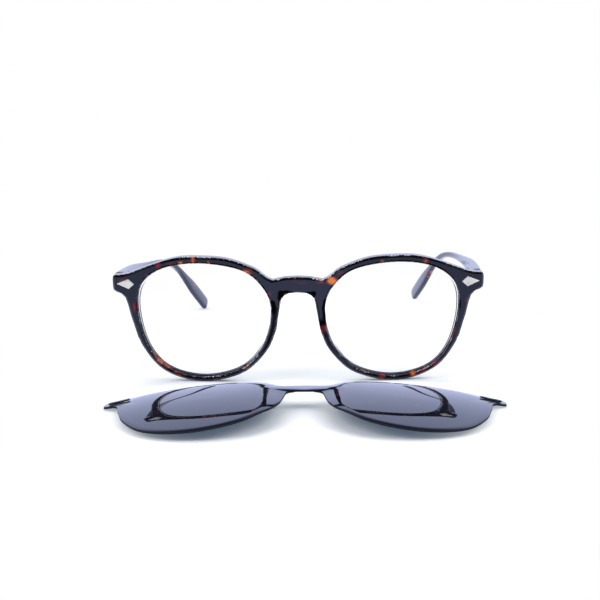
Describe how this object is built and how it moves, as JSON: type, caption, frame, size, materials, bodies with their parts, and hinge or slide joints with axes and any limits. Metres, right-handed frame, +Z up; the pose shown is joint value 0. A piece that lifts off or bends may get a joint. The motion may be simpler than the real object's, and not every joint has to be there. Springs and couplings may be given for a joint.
{
  "type": "eyeglasses",
  "caption": "Round acetate eyeglasses with folding temples and kite-shaped metal plaques, with a one-piece magnetic tinted clip-on lying in front.",
  "frame": {"origin": "on the table, in the middle of the box round the standing glasses and the clip-on lying in front of them", "axes": "+X across the front to the right of someone who faces it, +Y from the clip-on through the front to the temple tips, +Z up"},
  "size_m": [0.1427, 0.2162, 0.0487],
  "materials": {
    "tortoise_acetate": "polished, near black with amber and dark red tortoise patches",
    "temple_acetate": "polished, the same dark tortoise as the front",
    "clear_lens": "clear, polished",
    "tinted_lens": "smoke grey with a lavender mirror coat",
    "plaque_metal": "satin champagne",
    "hinge_steel": "satin",
    "magnet": "nickel plated",
    "clip_magnet_strip": "black, satin"
  },
  "bodies": {
    "front": {"frame_front": "tortoise_acetate", "lens_left": "clear_lens", "lens_right": "clear_lens", "nose_pad_left": "tortoise_acetate", "nose_pad_right": "tortoise_acetate", "plaque_left": "plaque_metal", "plaque_right": "plaque_metal", "front_magnet_left": "magnet", "front_magnet_right": "magnet", "front_hinge_left": "hinge_steel", "front_hinge_right": "hinge_steel", "hinge_screw_left": "hinge_steel", "hinge_screw_right": "hinge_steel"},
    "temple_left": {"temple_left": "temple_acetate", "temple_hinge_left": "hinge_steel", "core_wire_left": "hinge_steel"},
    "temple_right": {"temple_right": "temple_acetate", "temple_hinge_right": "hinge_steel", "core_wire_right": "hinge_steel"},
    "clip": {"clip_sheet": "tinted_lens", "clip_magnet_left": "clip_magnet_strip", "clip_magnet_right": "clip_magnet_strip"}
  },
  "joints": [
    {"name": "fold_left", "type": "hinge", "parent": "front", "child": "temple_left", "pos_m": [-0.06482, -0.02965, 0.03846], "axis": [0, -0.0745, -0.9972], "range_deg": [0, 79]},
    {"name": "fold_right", "type": "hinge", "parent": "front", "child": "temple_right", "pos_m": [0.06268, -0.02965, 0.03846], "axis": [0, 0.0478, 0.9989], "range_deg": [0, 87]},
    {"name": "clip_lift", "type": "slide", "parent": "front", "child": "clip", "axis": [0, 0, 1], "range_m": [0, 0.06]}
  ]
}
